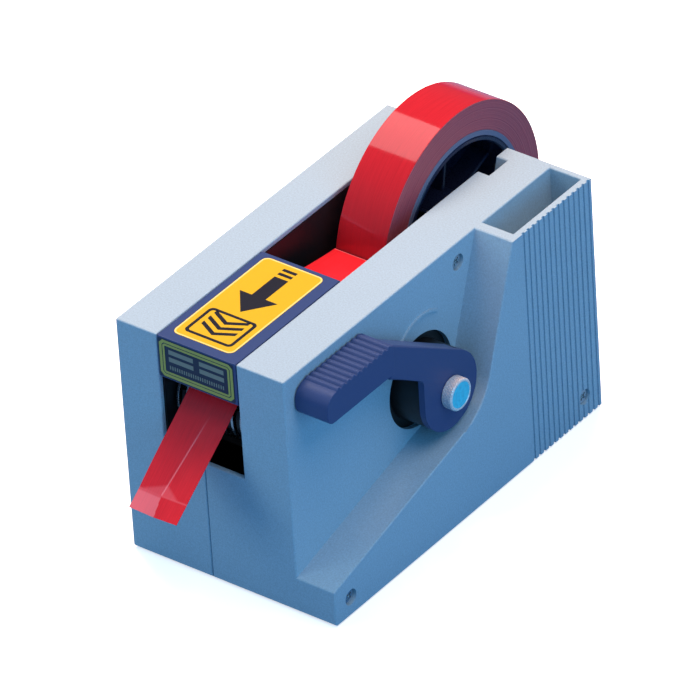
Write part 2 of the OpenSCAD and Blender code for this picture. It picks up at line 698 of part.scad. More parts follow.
module roll_hub() color([0.16, 0.22, 0.42]) place() difference() {
  union() {
    pipe(tape_x0 - 0.4, tape_x1 + 0.4, roll_at, core_r - seat, core_r - 3);
    rod(tape_x0 - 0.4, tape_x1 + 0.4, roll_at, 12);
    rod(tape_x0 + 2, tape_x0 + 4.5, roll_at, core_r - 2);
  }
  rod(tape_x0 - 2, tape_x1 + 2, roll_at, axle_r + fit);
}

module tape_core() color("lightblue") place()
  pipe(tape_x0 - 0.3, tape_x1 + 0.3, roll_at, core_r + core_wall, core_r);

module tape_roll() color("crimson") place()
  pipe(tape_x0, tape_x1, roll_at, roll_r, core_r + core_wall + seat);

left_casing();
right_casing();
bottom_plate();
base_weight();
rubber_feet();
bottom_screws();
casing_screws();
left_side_plate();
right_side_plate();
frame_spacers();
shaft_bushes();
feed_bushes();
idler_pin();
rocker_pin();
guide_roller_pin();
pressure_pivot();
stripper_comb();
knife_bracket();
knife_guide_rods();
cover_hinge_pin();
tape_strip();
lever_return_spring();
rocker_spring();
guard_cover();
top_label();
front_label();
lever();
lever_drum();
lever_shaft();
lever_gear();
knife_cam();
clamp_screw();
idler_gear();
feed_shaft();
feed_sleeve();
feed_discs();
feed_pinion();
guide_roller();
pressure_arm();
pressure_axle();
pressure_springs();
pressure_roller();
knife_rocker();
cam_follower();
knife_carriage();
knife_blade();
roll_axle();
axle_collars();
roll_hub();
tape_core();
tape_roll();
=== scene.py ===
# Looks for the lever-operated tape dispenser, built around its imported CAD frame.
import json
import math

import bmesh
import bpy
from mathutils import Matrix, Vector, noise


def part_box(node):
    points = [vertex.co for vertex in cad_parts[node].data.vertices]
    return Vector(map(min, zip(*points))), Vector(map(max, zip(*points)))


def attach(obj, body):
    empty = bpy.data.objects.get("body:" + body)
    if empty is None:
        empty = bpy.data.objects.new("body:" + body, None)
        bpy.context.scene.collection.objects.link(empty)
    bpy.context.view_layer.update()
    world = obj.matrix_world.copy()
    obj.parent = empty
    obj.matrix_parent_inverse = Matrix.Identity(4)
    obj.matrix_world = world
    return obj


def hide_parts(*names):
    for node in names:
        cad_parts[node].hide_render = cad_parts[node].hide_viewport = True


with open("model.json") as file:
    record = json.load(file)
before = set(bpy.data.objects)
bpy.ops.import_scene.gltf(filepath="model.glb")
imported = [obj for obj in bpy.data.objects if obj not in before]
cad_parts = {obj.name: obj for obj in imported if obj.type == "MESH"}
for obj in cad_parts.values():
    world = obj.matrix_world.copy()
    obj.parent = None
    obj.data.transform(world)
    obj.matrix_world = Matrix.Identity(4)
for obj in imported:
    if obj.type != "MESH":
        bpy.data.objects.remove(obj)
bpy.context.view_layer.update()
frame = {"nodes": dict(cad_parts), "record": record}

MM = 0.001
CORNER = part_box("left_casing")[0]          # casing's left, front, lower corner


def at(x, y, z):
    """A point given in millimetres from the casing's left, front, lower corner."""
    return CORNER + Vector((x, y, z)) * MM


def casing_mm(point):
    """The reverse of at()."""
    return (Vector(point) - CORNER) / MM


def span(node):
    """Lowest and highest corners of a CAD node, in casing millimetres."""
    low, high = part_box(node)
    return casing_mm(low), casing_mm(high)


def centre(node):
    low, high = span(node)
    return (low + high) / 2


def side_centre(node):
    """A node's middle seen from the side, as a (y, z) point."""
    middle = centre(node)
    return (middle.y, middle.z)


def radius_of(node):
    """Half the height of a round node."""
    low, high = span(node)
    return (high.z - low.z) / 2


def polar(middle, radius, degrees):
    """A (y, z) point at an angle from +Y towards +Z round a (y, z) middle."""
    a = math.radians(degrees)
    return (middle[0] + radius * math.cos(a), middle[1] + radius * math.sin(a))


def arc(middle, radius, start, stop, steps):
    return [polar(middle, radius, start + (stop - start) * i / steps) for i in range(steps + 1)]


def unit(value):
    """The value, held between 0 and 1."""
    return min(1.0, max(0.0, value))


def smooth(t):
    """Eases a value from 0 to 1 in and out."""
    return t * t * (3 - 2 * t)


# ---------------------------------------------------------------- materials

MIX_FACTOR, MIX_A, MIX_B, MIX_RESULT = 0, 6, 7, 2       # sockets of a mix node that mixes colours
TOOL_LINES = (40, 900, 900)                             # fine lines that run along X
EVEN_GRAIN = (300, 300, 300)


def shader_nodes(name):
    material = bpy.data.materials.new(name)
    material.use_nodes = True
    tree = material.node_tree
    return material, tree, tree.nodes["Principled BSDF"]


def object_coords(tree):
    return tree.nodes.new("ShaderNodeTexCoord").outputs["Object"]


def stretched(tree, scale):
    """Object coordinates, scaled along each axis."""
    node = tree.nodes.new("ShaderNodeMapping")
    node.inputs["Scale"].default_value = scale
    tree.links.new(object_coords(tree), node.inputs["Vector"])
    return node.outputs["Vector"]


def noise_node(tree, vector, scale, detail=2.0, rough=0.5):
    node = tree.nodes.new("ShaderNodeTexNoise")
    node.inputs["Scale"].default_value = scale
    node.inputs["Detail"].default_value = detail
    node.inputs["Roughness"].default_value = rough
    tree.links.new(vector, node.inputs["Vector"])
    return node.outputs["Fac"]


def ramp(tree, factor, stops):
    """Colour ramp through (position, linear rgb) stops."""
    node = tree.nodes.new("ShaderNodeValToRGB")
    elements = node.color_ramp.elements
    while len(elements) < len(stops):
        elements.new(0.5)
    for element, (position, colour) in zip(elements, stops):
        element.position = position
        element.color = (*colour, 1)
    tree.links.new(factor, node.inputs["Fac"])
    return node.outputs["Color"]


def mix(tree, factor, a, b):
    """Blend of two colours; each may be a socket or an rgb tuple, factor a socket or a number."""
    node = tree.nodes.new("ShaderNodeMix")
    node.data_type = "RGBA"
    for index, value in ((MIX_FACTOR, factor), (MIX_A, a), (MIX_B, b)):
        if isinstance(value, float):
            node.inputs[index].default_value = value
        elif isinstance(value, tuple):
            node.inputs[index].default_value = (*value, 1)
        else:
            tree.links.new(value, node.inputs[index])
    return node.outputs[MIX_RESULT]


def mesh_mark(tree, name):
    """A mesh attribute's value, which is 0 on a mesh without it."""
    node = tree.nodes.new("ShaderNodeAttribute")
    node.attribute_name = name
    return node.outputs["Fac"]


def bump(tree, shader, height, strength, depth):
    """Relief from a height socket; depth is in millimetres."""
    node = tree.nodes.new("ShaderNodeBump")
    node.inputs["Strength"].default_value = strength
    node.inputs["Distance"].default_value = depth * MM
    tree.links.new(height, node.inputs["Height"])
    tree.links.new(node.outputs["Normal"], shader.inputs["Normal"])


def scaled(colour, k):
    return tuple(min(1.0, c * k) for c in colour)


def grey(value):
    return (value, value, value)


def moulded(name, colour, rough=0.5, grain=0.55, relief=0.25, contrast=0.1, scuff=0.06, edge_highlight_lift=0.0):
    """Injection-moulded plastic: spark-eroded grain, faint flow mottling, and rounded edges painted paler as
    a painted highlight.
    """
    material, tree, shader = shader_nodes(name)
    coords = object_coords(tree)
    fine = noise_node(tree, coords, 1 / (grain * MM), 3.0, 0.65)
    broad = noise_node(tree, coords, 22.0, 3.0)
    base = ramp(tree, fine, [(0.32, scaled(colour, 1 - contrast)), (0.7, scaled(colour, 1 + contrast))])
    cloudy = ramp(tree, broad, [(0.3, scaled(colour, 1 - scuff)), (0.7, scaled(colour, 1 + scuff))])
    # Painted highlight: the rounded edges are mixed towards a paler colour, standing in for glints of light
    # on them.
    paler = tuple(c + (1 - c) * edge_highlight_lift for c in colour)
    edge_lit = mix(tree, mesh_mark(tree, "painted_edge_highlight"), mix(tree, 0.35, base, cloudy), paler)
    tree.links.new(edge_lit, shader.inputs["Base Color"])
    tree.links.new(ramp(tree, fine, [(0.25, grey(rough - 0.07)), (0.75, grey(rough + 0.07))]),
                   shader.inputs["Roughness"])
    bump(tree, shader, fine, relief, 0.08)
    return material


def machined(name, colour, rough=0.28, stretch=TOOL_LINES, relief=0.12, metallic=1.0):
    """Turned or drawn metal: fine lines along the tool's path and small changes of gloss."""
    material, tree, shader = shader_nodes(name)
    shader.inputs["Metallic"].default_value = metallic
    lines = noise_node(tree, stretched(tree, stretch), 2.2, 4.0, 0.6)
    tree.links.new(ramp(tree, lines, [(0.3, scaled(colour, 0.82)), (0.7, scaled(colour, 1.08))]),
                   shader.inputs["Base Color"])
    tree.links.new(ramp(tree, lines, [(0.3, grey(rough * 0.75)), (0.7, grey(rough * 1.3))]),
                   shader.inputs["Roughness"])
    bump(tree, shader, lines, relief, 0.05)
    return material


def adhesive_film(name, colour, pale, rough, streaks):
    """Glossy tape: faint streaks along its length, tiny dents, and pale pink marks at its crease, fold and
    peel line: partly stress whitening, partly painted highlight and painted reflection.
    """
    material, tree, shader = shader_nodes(name)
    lines = noise_node(tree, stretched(tree, streaks), 3.0, 3.0, 0.6)
    dents = noise_node(tree, object_coords(tree), 260.0, 2.0)
    base = ramp(tree, lines, [(0.3, scaled(colour, 0.9)), (0.7, scaled(colour, 1.08))])
    tree.links.new(mix(tree, mesh_mark(tree, "stress_white_and_sheen"), base, pale), shader.inputs["Base Color"])
    tree.links.new(ramp(tree, dents, [(0.3, grey(rough * 0.8)), (0.7, grey(rough * 1.25))]),
                   shader.inputs["Roughness"])
    shader.inputs["Specular IOR Level"].default_value = 0.75
    bump(tree, shader, dents, 0.12, 0.06)
    return material


def wound_side(name, middle, pitch, dark, light):
    """Edge of a wound roll: one fine ring a layer, some proud and some sunk, round the (y, z) middle."""
    material, tree, shader = shader_nodes(name)
    place = tree.nodes.new("ShaderNodeMapping")
    place.inputs["Location"].default_value = -at(0, *middle)
    tree.links.new(object_coords(tree), place.inputs["Vector"])
    flat = tree.nodes.new("ShaderNodeVectorMath")
    flat.operation = "MULTIPLY"
    flat.inputs[1].default_value = (0, 1, 1)
    tree.links.new(place.outputs["Vector"], flat.inputs[0])
    radius = tree.nodes.new("ShaderNodeVectorMath")
    radius.operation = "LENGTH"
    tree.links.new(flat.outputs["Vector"], radius.inputs[0])
    rings = tree.nodes.new("ShaderNodeTexNoise")
    rings.noise_dimensions = "1D"
    rings.inputs["Scale"].default_value = 1 / (pitch * MM)
    rings.inputs["Detail"].default_value = 4.0
    rings.inputs["Roughness"].default_value = 0.7
    tree.links.new(radius.outputs["Value"], rings.inputs["W"])
    tree.links.new(ramp(tree, rings.outputs["Fac"], [(0.3, dark), (0.7, light)]), shader.inputs["Base Color"])
    tree.links.new(ramp(tree, rings.outputs["Fac"], [(0.3, grey(0.55)), (0.7, grey(0.38))]),
                   shader.inputs["Roughness"])
    bump(tree, shader, rings.outputs["Fac"], 0.35, 0.1)
    return material


CASING_BLUE = (0.36, 0.52, 0.64)
NAVY = (0.036, 0.068, 0.20)
INK = (0.016, 0.017, 0.028)
YELLOW = (0.66, 0.44, 0.010)
CREAM = (0.90, 0.74, 0.25)
LIME = (0.40, 0.42, 0.10)
TAPE_RED = (0.52, 0.016, 0.026)
# Pale pink of the tape's marks: partly stress whitening, partly painted highlight and painted reflection.
STRESS_AND_SHEEN_PINK = (0.95, 0.30, 0.36)
ROLL_AT = side_centre("tape_roll")
LEVER_AT = side_centre("lever_drum")
LAYER_PITCH = 0.5               # of the rings on the roll's side, in millimetres

MATERIALS = {
    # The last number given to moulded() sets how strongly the rounded edges carry the painted highlight.
    "casing_plastic": moulded("casing_plastic", CASING_BLUE, 0.55, 0.7, 0.35, 0.2, 0.04, 0.5),
    "navy_plastic": moulded("navy_plastic", NAVY, 0.42, 0.45, 0.18, 0.12, 0.06, 0.08),
    "black_plastic": moulded("black_plastic", (0.010, 0.011, 0.012), 0.5, 0.5, 0.2, 0.2),
    "dark_steel": moulded("dark_steel", (0.012, 0.012, 0.014), 0.5, 0.3, 0.12, 0.2),
    "steel": machined("steel", (0.60, 0.61, 0.63)),
    "spring_steel": machined("spring_steel", (0.36, 0.36, 0.38), 0.35),
    "zinc": machined("zinc", (0.74, 0.77, 0.80), 0.2, EVEN_GRAIN, 0.06),
    "bronze": machined("bronze", (0.62, 0.42, 0.18), 0.4, EVEN_GRAIN),
    "gear_nylon": moulded("gear_nylon", (0.72, 0.70, 0.62), 0.45, 0.6, 0.12, 0.05),
    "cast_weight": moulded("cast_weight", (0.05, 0.05, 0.052), 0.7, 1.2, 0.7, 0.3),
    "rubber": moulded("rubber", (0.016, 0.016, 0.016), 0.75, 0.4, 0.3, 0.2),
    "roller_rubber": moulded("roller_rubber", (0.03, 0.03, 0.033), 0.7, 0.35, 0.3, 0.15),
    "core_board": moulded("core_board", (0.17, 0.19, 0.30), 0.7, 0.7, 0.3, 0.12),
    # The strip's red is 1.3 times the red of the same tape on the roll: a lighter copy of one material,
    # painted light.
    "tape_film": adhesive_film("tape_film", scaled(TAPE_RED, 1.3), STRESS_AND_SHEEN_PINK, 0.2, (900, 30, 30)),
    "tape_side": wound_side("tape_side", ROLL_AT, LAYER_PITCH, (0.36, 0.06, 0.085), (0.56, 0.12, 0.15)),
    "label_yellow": moulded("label_yellow", YELLOW, 0.45, 0.9, 0.06, 0.04, 0.03),
    "label_dark": moulded("label_dark", (0.016, 0.026, 0.062), 0.45, 0.9, 0.06, 0.08, 0.03),
}
PRINT = {
    "ink": moulded("label_ink", INK, 0.65, 0.9, 0.05, 0.15),
    "cream": moulded("label_cream", CREAM, 0.4, 0.9, 0.05, 0.05),
    "lime": moulded("label_lime", LIME, 0.4, 0.9, 0.05, 0.08),
    "silver": moulded("label_silver", (0.22, 0.25, 0.22), 0.4, 0.9, 0.05, 0.08),
}
SCREW_FACE = machined("screw_face", (0.07, 0.70, 0.98), 0.35, EVEN_GRAIN, 0.05, 0.0)
ROLL_OUTSIDE = adhesive_film("roll_outside", TAPE_RED, STRESS_AND_SHEEN_PINK, 0.08, (700, 20, 20))
# Near white and only partly metal, so the knurled head is bright by its own colour: painted reflection in
# place of the bright surroundings a steel head would mirror.
KNURL = machined("knurl", (0.96, 0.97, 1.0), 0.25, EVEN_GRAIN, 0.05, 0.3)
# Near black and darker than the lever's navy: painted shade for the inside of the hub's deep cup, which also
# hides its ribs.
HUB_NAVY_SHADED = moulded("hub_navy_shaded", (0.012, 0.018, 0.052), 0.3, 0.5, 0.12, 0.12)


# ---------------------------------------------------------------- mesh tools

WELD = 0.004                    # corners closer than this are one, in millimetres
FLAT_ANGLE = 0.4                # faces within this angle are one flat
SHARP_ANGLE = 34                # edges sharper than this are rounded
LONG_EDGE = 4                   # an edge longer than this, in millimetres, gets the whole width ...
ROOM_BESIDE = 2.3               # ... where there are this many widths beside it
RIGHT_SIDE_X = 101.9            # just inside the casing's right side
LIP_FROM_Y, LIP_TO_Y = 92, 133  # the curved part of the recess's lip
LIP_FOOT_Z = 20


def new_object(name, mesh):
    thing = bpy.data.objects.new(name, mesh)
    bpy.context.scene.collection.objects.link(thing)
    return thing


def from_bmesh(name, bm, smooth_angle=35):
    bmesh.ops.recalc_face_normals(bm, faces=bm.faces)
    mesh = bpy.data.meshes.new(name)
    bm.to_mesh(mesh)
    bm.free()
    mesh.shade_smooth()
    mesh.set_sharp_from_angle(angle=math.radians(smooth_angle))
    weigh_normals(mesh, smooth_angle)
    return new_object(name, mesh)


def weigh_normals(mesh, smooth_angle):
    """Keeps flats flat beside their rounded edges: at each corner the larger faces decide the normal."""
    faces = [(p.normal.copy(), p.area) for p in mesh.polygons]
    around = [[] for _ in mesh.vertices]
    for poly in mesh.polygons:
        for v in poly.vertices:
            around[v].append(poly.index)
    limit = math.cos(math.radians(smooth_angle))
    normals = []
    for poly in mesh.polygons:
        own = faces[poly.index][0]
        for v in poly.vertices:
            total = Vector((0, 0, 0))
            for i in around[v]:
                if faces[i][0].dot(own) > limit:
                    total += faces[i][0] * faces[i][1]
            normals.append(total.normalized() if total.length > 0 else own)
    mesh.normals_split_custom_set(normals)


def side_room(edge):
    """Length of the shortest edge that leaves either end of this one sideways."""
    along = (edge.verts[1].co - edge.verts[0].co).normalized()
    room = math.inf
    for vert in edge.verts:
        for other in vert.link_edges:
            way = other.other_vert(vert).co - vert.co
            if other is not edge and abs(way.normalized().dot(along)) < 0.9:
                room = min(room, way.length)
    return room


def on_recess_lip(edge):
    """True on the curved part of the lip between the lever's recess and the casing's right side."""
    ends = [casing_mm(v.co) for v in edge.verts]
    return all(p.x > RIGHT_SIDE_X and LIP_FROM_Y < p.y < LIP_TO_Y and p.z > LIP_FOOT_Z for p in ends)


def round_edges(bm, width, segments):
    """Rounds every sharp edge, width in millimetres. Long outside edges get the whole width; short ones,
    inside corners and the rims of holes get as much as fits."""
    def rounded(edges, clamp):
        made = bmesh.ops.bevel(bm, geom=edges, offset=width * MM, segments=segments, profile=0.5,
                               affect="EDGES", clamp_overlap=clamp)
        mark_painted_edge_highlight(bm, made["faces"])

    def roomy(edge):
        return (edge.is_convex and (edge.calc_length() > LONG_EDGE * MM or on_recess_lip(edge))
                and side_room(edge) > ROOM_BESIDE * width * MM)

    def sharp(test):
        limit = math.radians(SHARP_ANGLE)
        return [e for e in bm.edges if len(e.link_faces) == 2 and e.calc_face_angle(0) > limit and test(e)]

    rounded(sharp(roomy), False)
    rounded(sharp(lambda edge: True), True)


def mark_painted_edge_highlight(bm, faces):
    """Marks rounded edges, which get a painted highlight: paler than the flats beside them."""
    layer = bm.faces.layers.float.get("painted_edge_highlight") or bm.faces.layers.float.new("painted_edge_highlight")
    for face in faces:
        if face.is_valid:
            face[layer] = 1.0


def dress(thing, material, body=None, stands_for=()):
    """Sets the material and ties the piece to its body and slot."""
    for each in (material if isinstance(material, (list, tuple)) else [material]):
        thing.data.materials.append(each)
    if body:
        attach(thing, body)
    for node in stands_for:
        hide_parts(node)
    return thing


def node_body(node):
    bodies = frame["record"]["behaviour"]["bodies"]
    return next(body for body, nodes in bodies.items() if node in nodes)


def node_slot(node):
    return next(s["material_slot"] for s in frame["record"]["subparts"] if s["node"] == node)


def stand_for(thing, node, material=None):
    """The piece takes the CAD node's place, body, slot and material."""
    slot = node_slot(node)
    return dress(thing, material or MATERIALS[slot], node_body(node), [node])


def welded(node):
    """A copy of a CAD node's shape as a bmesh, its doubled corners joined."""
    bm = bmesh.new()
    bm.from_mesh(frame["nodes"][node].data)
    bmesh.ops.remove_doubles(bm, verts=bm.verts, dist=WELD * MM)
    return bm


def refined(node, width, segments):
    """A copy of a CAD node's shape with rounded edges, which stands for the node."""
    bm = welded(node)
    bmesh.ops.dissolve_limit(bm, angle_limit=math.radians(FLAT_ANGLE), verts=bm.verts, edges=bm.edges)
    round_edges(bm, width, segments)
    return stand_for(from_bmesh(node + "_shape", bm), node)


def prism(bm, outline, low, high, place, rounded=()):
    """Adds an extruded outline; place maps (u, v, height) to a point. Each rounded entry is a height and
    a width: the rim at that height gets that radius, in millimetres."""
    rims = [[bm.verts.new(place(u, v, h)) for u, v in outline] for h in (low, high)]
    caps = [bm.faces.new(rim) for rim in rims]
    count = len(outline)
    for i in range(count):
        bm.faces.new((rims[0][i], rims[0][(i + 1) % count], rims[1][(i + 1) % count], rims[1][i]))
    for height, width in rounded:
        cap = caps[0] if height == low else caps[1]
        bmesh.ops.bevel(bm, geom=list(cap.edges), offset=width * MM, segments=3, profile=0.5,
                        affect="EDGES", clamp_overlap=True)


def along_x(u, v, height):
    return at(height, u, v)


def facing_up(u, v, height):
    return at(u, v, height)


def facing_front(u, v, height):
    return at(u, -height, v)


def turned(bm, profile, middle, steps, material_of=None):
    """Adds a ring turned round X: profile is a closed loop of (x, radius), middle a (y, z) point."""
    rings = [[bm.verts.new(at(x, *polar(middle, r, 360 * i / steps))) for x, r in profile]
             for i in range(steps)]
    count = len(profile)
    for ring, beyond in zip(rings, rings[1:] + rings[:1]):
        for j in range(count):
            k = (j + 1) % count
            face = bm.faces.new((ring[j], ring[k], beyond[k], beyond[j]))
            if material_of:
                face.material_index = material_of(j)


def helix(name, foot, tip, radius, wire, turns):
    """A coil spring between two casing points, wound closer towards its ends."""
    sides, steps_a_turn = 10, 24
    even = 0.65                             # part of the rise that is the same all along
    foot, tip = Vector(foot), Vector(tip)
    axis = (tip - foot).normalized()
    across = axis.orthogonal().normalized()
    over = axis.cross(across)
    steps = int(turns * steps_a_turn)
    bm = bmesh.new()
    rings = []
    for i in range(steps + 1):
        t = i / steps
        a = 2 * math.pi * turns * t
        out = across * math.cos(a) + over * math.sin(a)
        risen = smooth(t) * (1 - even) + t * even
        middle = foot + axis * (wire + ((tip - foot).length - 2 * wire) * risen) + out * radius
        rings.append([bm.verts.new(at(*(middle + (out * math.cos(b) + axis * math.sin(b)) * wire)))
                      for b in (2 * math.pi * j / sides for j in range(sides))])
    for r, s in zip(rings, rings[1:]):
        for j in range(sides):
            bm.faces.new((r[j], r[(j + 1) % sides], s[(j + 1) % sides], s[j]))
    bm.faces.new(rings[0][::-1])
    bm.faces.new(rings[-1])
    return from_bmesh(name, bm, 60)


def rectangle(x0, y0, x1, y1):
    return [(x0, y0), (x1, y0), (x1, y1), (x0, y1)]


def rounded_box(x0, y0, x1, y1, r):
    """Outline of a rectangle with round corners."""
    corners = ((x1 - r, y1 - r, 0), (x0 + r, y1 - r, 90), (x0 + r, y0 + r, 180), (x1 - r, y0 + r, 270))
    return [p for x, y, a in corners for p in arc((x, y), r, a, a + 90, 6)]


def band(bm, outer, inner, low, high, place):
    """Adds a flat frame between two outlines that have the same number of points."""
    loops = [[bm.verts.new(place(u, v, h)) for u, v in line] for line, h in
             ((outer, low), (outer, high), (inner, high), (inner, low))]
    count = len(outer)
    for a, b in zip(loops, loops[1:] + loops[:1]):
        for i in range(count):
            j = (i + 1) % count
            bm.faces.new((a[i], a[j], b[j], b[i]))


# ---------------------------------------------------------------- casing and frame

CASING_EDGE = 0.7


def casings():
    for node in ("left_casing", "right_casing"):
        refined(node, CASING_EDGE, 3)


ROUNDED_NODES = {   # edge radius of each plain part, in millimetres
    "bottom_plate": 0.3, "base_weight": 1.2, "rubber_feet": 0.25, "bottom_screws": 0.2,
    "casing_screws": 0.12,
    "left_side_plate": 0.25, "right_side_plate": 0.25, "frame_spacers": 0.25, "shaft_bushes": 0.2,
    "feed_bushes": 0.2, "idler_pin": 0.25, "rocker_pin": 0.25, "guide_roller_pin": 0.25,
    "pressure_pivot": 0.25,
    "cover_hinge_pin": 0.2, "stripper_comb": 0.15, "knife_bracket": 0.3, "knife_guide_rods": 0.2,
    "lever_drum": 0.5, "lever_shaft": 0.3, "feed_sleeve": 0.3, "lever_gear": 0.15, "knife_cam": 0.25,
    "idler_gear": 0.15,
    "feed_shaft": 0.3, "feed_discs": 0.2, "feed_pinion": 0.15, "guide_roller": 0.3, "pressure_arm": 0.25,
    "pressure_axle": 0.2, "pressure_roller": 0.4, "knife_rocker": 0.25, "cam_follower": 0.2,
    "knife_carriage": 0.3, "roll_axle": 0.5, "axle_collars": 0.5, "guard_cover": 0.5, "tape_core": 0.3,
}


def plain_parts():
    for node, width in ROUNDED_NODES.items():
        refined(node, width, 2)


GRIND_HEIGHT = 2.2              # of the blade's ground bevel
GRIND_SLOPE = 0.25
GROUND_EDGE = 0.2               # thickness left at the teeth
FRONT_SKIN = 0.1                # points no further back than this are the blade's front


def knife_blade():
    """The CAD blade, with a ground bevel behind its teeth."""
    bm = welded("knife_blade")
    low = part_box("knife_blade")[0]
    for vert in bm.verts:
        if vert.co.z < low.z + GRIND_HEIGHT * MM and vert.co.y > low.y + FRONT_SKIN * MM:
            vert.co.y = low.y + GROUND_EDGE * MM + (vert.co.z - low.z) * GRIND_SLOPE
    stand_for(from_bmesh("knife_blade_ground", bm, 20), "knife_blade")


def springs():
    low, high = span("rocker_spring")
    x, y = centre("rocker_spring").x, centre("rocker_spring").y
    stand_for(helix("rocker_coil", (x, y, low.z), (x, y, high.z), 1.5, 0.35, 9), "rocker_spring")
    low, high = span("lever_return_spring")
    coil = helix("lever_coil", (low.x, *LEVER_AT), (high.x, *LEVER_AT), 7.6, 0.55, 2.2)
    stand_for(coil, "lever_return_spring")
    low, high = span("pressure_springs")
    pivot = side_centre("pressure_springs")
    length = 5.0
    ends = (("left", low.x, low.x + length), ("right", high.x - length, high.x))
    coils = [helix("pressure_coil_" + side, (a, *pivot), (b, *pivot), 2.75, 0.4, 5) for side, a, b in ends]
    for coil in coils:
        stand_for(coil, "pressure_springs")


# ---------------------------------------------------------------- lever and clamp screw

HUB_R = 17.25
ARM_INNER_X = 90.9
DRUM_CLEAR_R = 17.6
HUB_BACK_X = 95.5
HANDLE_TOP_R = 6.5
HANDLE_LOWER_R = 4.0
HANDLE_BOTTOM_Z = 92.3
RIB_START, RIB_PITCH, RIB_COUNT, RIB_HEIGHT = 12.2, 3.34, 11, 1.0
RIB_PROFILE = (                 # from the back of a rib: part of the pitch, part of the height
    (0.98, 0.0), (0.86, 0.55), (0.74, 0.9), (0.6, 1.0), (0.44, 0.92), (0.28, 0.55), (0.14, 0.0))
HANDLE_END = 50.0
ARM_STEP = 0.6                  # how far the arm reaches into the handle
ARM_TIP = (50.7, 105.1)
ARM_FOOT = (48.6, 89.2)
FILLET_AT, FILLET_R, ARM_LEAN = (65.6, 74.0), 4.0, 58.6
SCREW_HEAD = 5.0                # length of the clamp screw's head


def handle_outline(low, high):
    """Side view of the handle; its top edge rises in one small ridge for each rib."""
    front, bottom, top = low.y, HANDLE_BOTTOM_Z, high.z - RIB_HEIGHT
    points = [(HANDLE_END, bottom), (HANDLE_END, top)]
    for i in reversed(range(RIB_COUNT)):
        for t, rise in RIB_PROFILE:
            points.append((RIB_START + RIB_PITCH * (i + t), top + RIB_HEIGHT * rise))
    points += arc((front + HANDLE_TOP_R, top - HANDLE_TOP_R), HANDLE_TOP_R, 90, 180, 12)
    points += arc((front + HANDLE_LOWER_R, bottom + HANDLE_LOWER_R), HANDLE_LOWER_R, 180, 270, 6)
    return points


def hub_tangent():
    """Angle at which the arm's top edge meets the hub."""
    dy, dz = ARM_TIP[0] - LEVER_AT[0], ARM_TIP[1] - LEVER_AT[1]
    return math.degrees(math.atan2(dz, dy) - math.acos(HUB_R / math.hypot(dy, dz)))


def arm_outline():
    points = [ARM_FOOT, (HANDLE_END - ARM_STEP, ARM_TIP[1]), ARM_TIP]
    points += arc(LEVER_AT, HUB_R, hub_tangent(), -180, 56)
    points += arc(FILLET_AT, FILLET_R, 0, ARM_LEAN, 8)
    return points


def arm_block_outline():
    """The thick part of the arm, which ends in a hollow round the drum."""
    def meets_drum(start, toward):
        """Where a line from start first comes within the drum's clearance."""
        steps = 400
        for i in range(steps + 1):
            t = i / steps
            y = start[0] + (toward[0] - start[0]) * t
            z = start[1] + (toward[1] - start[1]) * t
            if math.hypot(y - LEVER_AT[0], z - LEVER_AT[1]) <= DRUM_CLEAR_R:
                return (y, z)
        return toward

    upper = meets_drum(ARM_TIP, polar(LEVER_AT, HUB_R, hub_tangent()))
    lower = meets_drum(ARM_FOOT, polar(FILLET_AT, FILLET_R, ARM_LEAN))
    angles = [math.degrees(math.atan2(p[1] - LEVER_AT[1], p[0] - LEVER_AT[0])) for p in (upper, lower)]
    return [ARM_FOOT, (HANDLE_END - ARM_STEP, ARM_TIP[1]), ARM_TIP] + arc(LEVER_AT, DRUM_CLEAR_R, *angles, 20)


def lever():
    low, high = span("lever")
    face_x = span("clamp_screw")[1].x - SCREW_HEAD
    bm = bmesh.new()
    prism(bm, handle_outline(low, high), low.x, high.x, along_x, [(low.x, 0.7), (high.x, 0.7)])
    prism(bm, arm_outline(), HUB_BACK_X, face_x, along_x, [(face_x, 0.9)])
    prism(bm, arm_block_outline(), ARM_INNER_X, HUB_BACK_X + 0.1, along_x, [(ARM_INNER_X, 0.7)])
    stand_for(from_bmesh("lever_moulding", bm, 40), "lever")


def clamp_screw():
    """Knurled head with a chamfered rim and a flat dished face, on a plain stem."""
    low, high = span("clamp_screw")
    head_r = radius_of("clamp_screw")
    head_x = high.x - SCREW_HEAD
    rows, steps, depth = 13, 168, 0.22
    crossings = 34
    slope = 0.85
    bm = bmesh.new()
    profile = [(low.x, 0.02), (low.x, 3.0), (head_x, 3.0), (head_x, head_r - 0.5)]
    knurl_x = [head_x + 0.45 + (high.x - head_x - 1.0) * i / rows for i in range(rows + 1)]
    profile += [(x, None) for x in knurl_x]
    profile += [(high.x - 0.12, head_r - 0.45), (high.x, head_r - 0.75), (high.x, head_r - 1.15),
                (high.x - 0.2, head_r - 1.35), (high.x - 0.2, 0.02)]
    rings = []
    for i in range(steps):
        turn = 2 * math.pi * i / steps
        ring = []
        for x, r in profile:
            if r is None:
                slant = (x - head_x) * slope / head_r * crossings / 2.2
                round_turn = crossings / 2 * turn
                wave = abs(math.sin(round_turn + slant)) * abs(math.sin(round_turn - slant))
                r = head_r - depth * (1 - wave)
            ring.append(bm.verts.new(at(x, *polar(LEVER_AT, r, 360 * i / steps))))
        rings.append(ring)
    face_from = len(profile) - 2
    for ring, beyond in zip(rings, rings[1:] + rings[:1]):
        for j in range(len(profile) - 1):
            face = bm.faces.new((ring[j], ring[j + 1], beyond[j + 1], beyond[j]))
            face.material_index = 1 if j >= face_from else 0
    for j, material in ((0, 0), (len(profile) - 1, 1)):
        cap = bm.faces.new([ring[j] for ring in rings])
        cap.material_index = material
    thing = from_bmesh("clamp_screw_knurled", bm, 30)
    stand_for(thing, "clamp_screw", [KNURL, SCREW_FACE])


# ---------------------------------------------------------------- roll and tape

